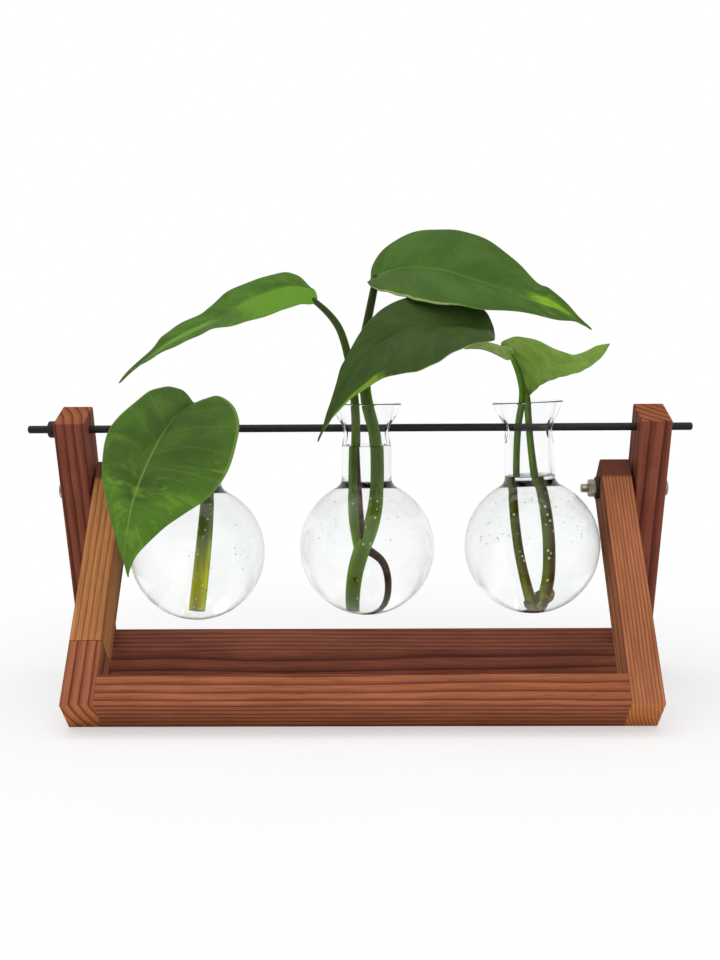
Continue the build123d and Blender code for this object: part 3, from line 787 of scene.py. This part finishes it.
def seen_on(leaf, points):
    """Picture points carried to where their sight lines pass nearest to a leaf's solid, then evened out."""
    lines = [sight(*point) for point in points]
    surface = BVHTree.FromObject(leaf, bpy.context.evaluated_depsgraph_get())
    reach = []
    for line in lines:
        far = (leaf.data.vertices[0].co - eye).length
        for step in range(40):
            far = (surface.find_nearest(eye + line * far)[0] - eye).dot(line)
        reach.append(far)
    for turn in range(3):
        reach[1:-1] = [(last + 2 * here + after) / 4 for last, here, after in zip(reach, reach[1:], reach[2:])]
    return [eye + line * far for line, far in zip(lines, reach)]


def along(points, share):
    """A smooth line through points, at a share of its way."""
    where = share * (len(points) - 1)
    index = min(int(where), len(points) - 2)
    t = where - index
    before = points[max(index - 1, 0)]
    start, end = points[index], points[index + 1]
    after = points[min(index + 2, len(points) - 1)]
    return 0.5 * (2 * start + (end - before) * t + (2 * before - 5 * start + 4 * end - after) * t ** 2
                  + (3 * start - before - 3 * end + after) * t ** 3)


def blade(name, body, rib, first_edge, second_edge, skin, under, crown=0.10, pucker=0.00025):
    """A thin leaf between its midrib and edges, crowned on both sides of the rib."""
    bpy.ops.object.select_all(action="DESELECT")
    bpy.ops.mesh.primitive_grid_add(x_subdivisions=20, y_subdivisions=44, size=1)
    piece = bpy.context.object
    piece.name = name + "_blade"
    ribs = seen_on(nodes[name], rib)
    edges = {-1: seen_on(nodes[name], first_edge), 1: seen_on(nodes[name], second_edge)}
    for corner in piece.data.vertices:
        share = corner.co.y + 0.5
        across = corner.co.x * 2
        middle = along(ribs, share)
        edge = along(edges[-1 if across < 0 else 1], share)
        out = abs(across)
        ahead = along(ribs, min(share + 0.02, 1)) - along(ribs, max(share - 0.02, 0))
        up = (edge - middle).cross(ahead) * (1 if across < 0 else -1)
        up = up.normalized() if up.length > 1e-9 else Vector((0, 0, 0))
        if up.dot(leaf_front) < 0:
            up = -up
        width = (edge - middle).length
        swell = crown * width * (4 * out * (1 - out))
        ripple = pucker * sin(18 * share * pi - 5 * out) * min(out * 3, 1)
        corner.co = middle.lerp(edge, out) + up * (swell + ripple)
    bpy.ops.object.mode_set(mode="EDIT")
    bpy.ops.mesh.select_all(action="SELECT")
    bpy.ops.mesh.remove_doubles(threshold=leaf_weld)
    bpy.ops.mesh.normals_make_consistent(inside=False)
    bpy.ops.object.mode_set(mode="OBJECT")
    facing = sum((face.normal * face.area for face in piece.data.polygons), Vector())
    if facing.dot(leaf_front) < 0:
        bpy.ops.object.mode_set(mode="EDIT")
        bpy.ops.mesh.flip_normals()
        bpy.ops.object.mode_set(mode="OBJECT")
    piece.data.materials.append(skin)
    piece.data.materials.append(under)
    apply(piece, "SOLIDIFY", thickness=leaf_thickness, offset=-1, material_offset=1, material_offset_rim=1)
    apply(piece, "SUBSURF", levels=1, render_levels=1)
    bpy.ops.object.shade_smooth()
    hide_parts(name)
    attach(piece, body)


def leaf_skin(name, dark, light, splash, rib_tint, seed, splash_from=0.0, splash_to=1.0, amount=0.6, bands=()):
    """Waxy leaf skin: clouded green, splashes along the side veins, bands of other greens, pale rib and rim."""
    material, tree, shader = finish(name)
    flat = node(tree, "TexCoord", {}).outputs["UV"]
    split = node(tree, "SeparateXYZ", {0: flat})
    u, v = split.outputs[0], split.outputs[1]
    out = math(tree, "MULTIPLY", math(tree, "ABSOLUTE", math(tree, "SUBTRACT", u, 0.5)), 2.0)
    half = math(tree, "GREATER_THAN", u, 0.5)
    swept = math(tree, "SUBTRACT", v, math(tree, "MULTIPLY", out, 0.16))
    beat = math(tree, "ADD", math(tree, "MULTIPLY", swept, 11.0), math(tree, "MULTIPLY", half, 0.37))
    vein = spread(tree, math(tree, "PINGPONG", beat, 0.5), 0.0, 0.10, 1, 0)
    flow = node(tree, "CombineXYZ", {0: u, 1: swept, 2: seed}).outputs[0]
    cloud = noise(tree, stretched(tree, flow, (2.2, 5, 1)), 1.6, 3)
    tint = blend(tree, spread(tree, cloud, 0.35, 0.65, 0, 1), dark, light)
    streak = noise(tree, stretched(tree, flow, (3, 17, 1)), 1.4, 4, 0.6)
    wave = math(tree, "MULTIPLY", math(tree, "SUBTRACT", streak, 0.5), 0.35)
    for side, start, end, inner, outer, soft, band, strength in bands:
        long = math(tree, "ADD", v, math(tree, "MULTIPLY", wave, 0.5))
        broad = math(tree, "ADD", out, math(tree, "MULTIPLY", wave, soft * 4))
        here = math(tree, "MULTIPLY", spread(tree, long, start - 0.05, start + 0.05, 0, strength),
                    spread(tree, long, end - 0.05, end + 0.05, 1, 0))
        here = math(tree, "MULTIPLY", here, spread(tree, broad, inner - soft, inner + soft, 0, 1))
        here = math(tree, "MULTIPLY", here, spread(tree, broad, outer - soft, outer + soft, 1, 0))
        if side:
            here = math(tree, "MULTIPLY", here, half if side > 0 else math(tree, "SUBTRACT", 1.0, half))
        tint = blend(tree, here, tint, band)
    where = math(tree, "MULTIPLY", spread(tree, v, splash_from, splash_from + 0.12, 0, 1),
                 spread(tree, v, splash_to - 0.12, splash_to, 1, 0))
    mask = math(tree, "MULTIPLY", math(tree, "MULTIPLY", spread(tree, streak, 0.52, 0.66, 0, 1), where), amount)
    tint = blend(tree, mask, tint, splash)
    fine = noise(tree, stretched(tree, flow, (60, 110, 1)), 1.0, 3)
    tint = shaded(tree, tint, fine, ((0.3, (0.88, 0.88, 0.88, 1)), (0.7, (1.1, 1.1, 1.1, 1))))
    tint = blend(tree, math(tree, "MULTIPLY", vein, 0.08), tint, rib_tint)
    tint = blend(tree, spread(tree, out, 0.0, 0.035, 0.6, 0), tint, rib_tint)
    tint = blend(tree, spread(tree, out, 0.965, 0.99, 0, 0.4), tint, rib_tint)
    tree.links.new(tint, shader.inputs["Base Color"])
    tree.links.new(spread(tree, fine, 0.3, 0.7, 0.5, 0.38), shader.inputs["Roughness"])
    shader.inputs["Specular IOR Level"].default_value = 0.05
    groove = math(tree, "ADD", vein, spread(tree, out, 0.0, 0.05, 1.5, 0))
    height = math(tree, "SUBTRACT", math(tree, "MULTIPLY", fine, 0.3), groove)
    emboss(tree, shader, height, 0.25, 0.0004)
    return material


pale_under = leaf_skin("leaf_underside", screen(88, 116, 48), screen(100, 130, 54), screen(112, 142, 62),
                       screen(120, 146, 70), 9.0)

skin = leaf_skin("left_leaf_skin", screen(62, 88, 36), screen(74, 104, 40), screen(106, 142, 48),
                 screen(128, 152, 78), 1.0, 0.42, 1.1, 0.6,
                 ((0, 0.6, 1.2, -0.5, 1.5, 0.1, screen(86, 126, 42), 0.7),))
rib = ((193, 402), (174, 419), (160, 439), (147, 464), (138, 486), (131, 508), (127, 533), (125, 553),
       (128, 578))
edge_a = ((193, 402), (186, 392), (176, 387), (165, 386), (150, 390), (134, 402), (109, 427), (102, 457),
          (102, 480), (107, 506), (114, 533), (122, 559), (128, 578))
edge_b = ((193, 402), (198, 402), (206, 398), (218, 395), (232, 403), (239, 417), (239, 435), (232, 461),
          (223, 481), (205, 501), (183, 515), (165, 528), (145, 546), (132, 563), (128, 578))
blade("left_cutting_leaf", "left_cutting", rib, edge_a, edge_b, skin, pale_under)

skin = leaf_skin("middle_left_leaf_skin", screen(72, 104, 38), screen(80, 114, 42), screen(98, 140, 46),
                 screen(90, 124, 50), 2.0, 0.1, 0.9, 0.35,
                 ((1, -0.2, 0.42, 0.08, 1.5, 0.06, screen(96, 140, 40), 0.95),
                  (1, 0.56, 0.80, -0.1, 0.6, 0.08, screen(104, 146, 44), 0.9),
                  (-1, 0.75, 1.2, 0.2, 1.5, 0.1, screen(62, 82, 36), 0.7)))
rib = ((315, 290), (294, 285), (278, 287), (263, 292), (248, 298), (235, 306), (222, 315), (205, 323),
       (185, 332), (165, 344), (150, 356), (133, 370), (118, 384))
edge_a = ((315, 290), (310, 286), (301, 277), (292, 272.5), (283, 272), (268, 275), (251, 281), (232, 288),
          (220, 297), (209, 307), (202, 313), (186, 320), (171, 329), (162, 336), (154, 346), (140, 360),
          (125, 373), (118, 384))
edge_b = ((315, 290), (318, 298), (314, 303.5), (303, 304), (290, 307), (275, 313), (252, 320), (232, 325.5),
          (211, 329), (196, 336.5), (177, 345), (160, 353), (143, 363), (130, 371), (118, 384))
blade("middle_left_leaf", "middle_cutting", rib, edge_a, edge_b, skin, pale_under, crown=0.06)

skin = leaf_skin("middle_top_leaf_skin", screen(64, 92, 36), screen(72, 102, 40), screen(96, 130, 44),
                 screen(92, 120, 54), 3.0, 0.62, 1.1, 0.5,
                 ((0, 0.74, 0.90, -0.5, 0.26, 0.1, screen(132, 174, 42), 0.95),
                  (1, 0.05, 0.55, 0.95, 1.5, 0.02, screen(150, 164, 96), 0.9),
                  (1, -0.2, 0.16, -0.5, 0.08, 0.03, screen(116, 146, 66), 0.8)))
rib = ((367, 282), (384, 272.5), (401, 268), (422, 267.5), (445, 271), (466, 277.5), (491, 285), (520, 294),
       (547, 303), (568, 314), (593, 330))
edge_a = ((367, 282), (370, 279), (371, 269), (376.5, 256), (388, 245), (405, 234), (424, 229.5),
          (443.5, 228.5), (462.5, 230.5), (482, 236), (501, 248), (516, 260), (530, 274.5), (541, 285),
          (549, 287), (564, 300), (579, 316), (593, 330))
edge_b = ((367, 282), (371, 287), (377, 290), (386, 292), (398, 295.5), (409, 298), (419, 301), (438, 304),
          (463, 306), (487, 310), (526, 312), (551, 319), (568, 320.5), (581, 323), (593, 330))
blade("middle_top_leaf", "middle_cutting", rib, edge_a, edge_b, skin, pale_under, crown=0.07)

skin = leaf_skin("middle_front_leaf_skin", screen(52, 71, 32), screen(60, 81, 36), screen(64, 86, 38),
                 screen(66, 88, 42), 4.0, 0.0, 1.0, 0.4,
                 ((1, 0.64, 0.96, 0.72, 1.5, 0.05, screen(118, 148, 48), 0.95),))
rib = ((494.5, 331), (472, 326.5), (453, 324.5), (435, 325), (415, 328), (395, 335), (375, 348), (358, 366),
       (345, 388), (333, 410), (324, 428), (317, 443))
edge_a = ((494.5, 331), (492, 321), (484, 309), (460, 295), (430, 291), (403, 298), (382, 308), (371, 318.5),
          (361, 330), (353.5, 343), (346, 357), (340, 368), (336, 383), (331.5, 398), (327, 411), (323, 425),
          (317, 443))
edge_b = ((494.5, 331), (495.5, 337), (494, 341), (484, 341.5), (472, 344.5), (461, 349), (449, 355),
          (438, 362.5), (426, 368), (415, 372), (401, 374), (386, 377), (370, 386), (355, 396), (344, 405),
          (333, 418), (325, 428), (317, 443))
blade("middle_front_leaf", "middle_cutting", rib, edge_a, edge_b, skin, pale_under, crown=0.06)

skin = leaf_skin("right_leaf_skin", screen(106, 138, 54), screen(118, 148, 62), screen(132, 160, 76),
                 screen(134, 160, 78), 5.0, 0.0, 1.0, 0.5,
                 ((0, -0.2, 0.06, -0.5, 1.5, 0.1, screen(58, 76, 34), 0.8),))
rib = ((514, 352), (504, 351), (495, 348.5), (485, 346), (474, 346.5), (464, 348.5))
edge_a = ((514, 352), (511, 347), (502, 345.5), (493.5, 343), (483.5, 341.5), (473, 344), (464, 348.5))
edge_b = ((514, 352), (509, 360), (499.5, 356), (490, 351.5), (479, 348.5), (464, 348.5))
pale_skin = leaf_skin("right_small_leaf_skin", screen(124, 148, 74), screen(138, 162, 86), screen(148, 170, 98),
                      screen(116, 142, 64), 6.0)
blade("right_small_leaf", "right_cutting", rib, edge_a, edge_b, pale_skin, pale_under, crown=0.04, pucker=0)
rib = ((527, 396), (533, 380), (545, 370), (560, 366), (575, 362), (590, 356), (602, 350), (610, 343.5))
edge_a = ((527, 396), (520, 382), (514, 367), (509, 354), (500, 344), (508, 338), (518, 336), (535, 339),
          (549, 347), (561, 354.5), (575, 355), (588, 349.5), (600, 344.5), (610, 343.5))
edge_b = ((527, 396), (532, 393), (537, 388), (542, 384), (551, 380), (560, 377), (570.5, 374.5), (582, 371),
          (591, 366), (600, 359), (606, 351.5), (610, 343.5))
blade("right_long_leaf", "right_cutting", rib, edge_a, edge_b, skin, pale_under, crown=0.05)


# Floor and light: a plain pale bench top that takes a soft shadow, a white room that the glass
# shows, a broad soft lamp overhead and a weak one in front.
floor_size = 6
floor_gap = 0.0002
fade_from = 0.16
fade_to = 0.36


def shown_rays(tree):
    """1 for what the camera sees straight, in gloss and through glass, and 0 for light."""
    ray = node(tree, "LightPath", {}).outputs
    return math(tree, "MAXIMUM", math(tree, "MAXIMUM", ray["Is Camera Ray"], ray["Is Glossy Ray"]),
                ray["Is Transmission Ray"])


def pale_floor():
    """Matt white board that keeps the stand's shadow and fades into the white room around it."""
    material, tree, shader = finish("pale_floor_board")
    place = own_place(tree)
    mark = noise(tree, place, 6, 2)
    tree.links.new(ramp(tree, mark, ((0.3, (0.95, 0.95, 0.95, 1)), (0.7, (0.97, 0.97, 0.97, 1)))),
                   shader.inputs["Base Color"])
    shader.inputs["Roughness"].default_value = 0.9
    shader.inputs["Specular IOR Level"].default_value = 0.0
    away = node(tree, "VectorMath", {0: place}, operation="LENGTH").outputs["Value"]
    fade = math(tree, "MULTIPLY", spread(tree, away, fade_from, fade_to, 0.5, 1), shown_rays(tree))
    white = node(tree, "Emission", {"Color": (1, 1, 1, 1), "Strength": 1.0}).outputs[0]
    either = node(tree, "MixShader", {0: fade, 1: shader.outputs[0], 2: white}).outputs[0]
    tree.links.new(either, tree.nodes["Material Output"].inputs["Surface"])
    return material


bpy.ops.object.select_all(action="DESELECT")
bpy.ops.mesh.primitive_plane_add(size=floor_size, location=(0, 0, -floor_gap))
floor_board = bpy.context.object
floor_board.name = "floor_board"
bpy.ops.object.transform_apply(location=True)
floor_board.data.materials.append(pale_floor())

world = bpy.data.worlds.new("white_room")
world.use_nodes = True
scene.world = world
sky = world.node_tree
strength = spread(sky, shown_rays(sky), 0, 1, 0.62, 1.0)
sky.nodes["Background"].inputs["Color"].default_value = (1, 1, 1, 1)
sky.links.new(strength, sky.nodes["Background"].inputs["Strength"])

for name, size, power, place, aim in (
        ("overhead_lamp", 1.2, 6.0, (-0.15, -0.25, 1.15), (0, 0, 0.1)),
        ("front_lamp", 1.0, 4.0, (0.3, -1.3, 0.7), (0, 0, 0.1))):
    bpy.ops.object.light_add(type="AREA", location=place)
    lamp = bpy.context.object
    lamp.name = name
    lamp.data.size = size
    lamp.data.energy = power
    lamp.rotation_euler = (Vector(aim) - Vector(place)).to_track_quat("-Z", "Y").to_euler()
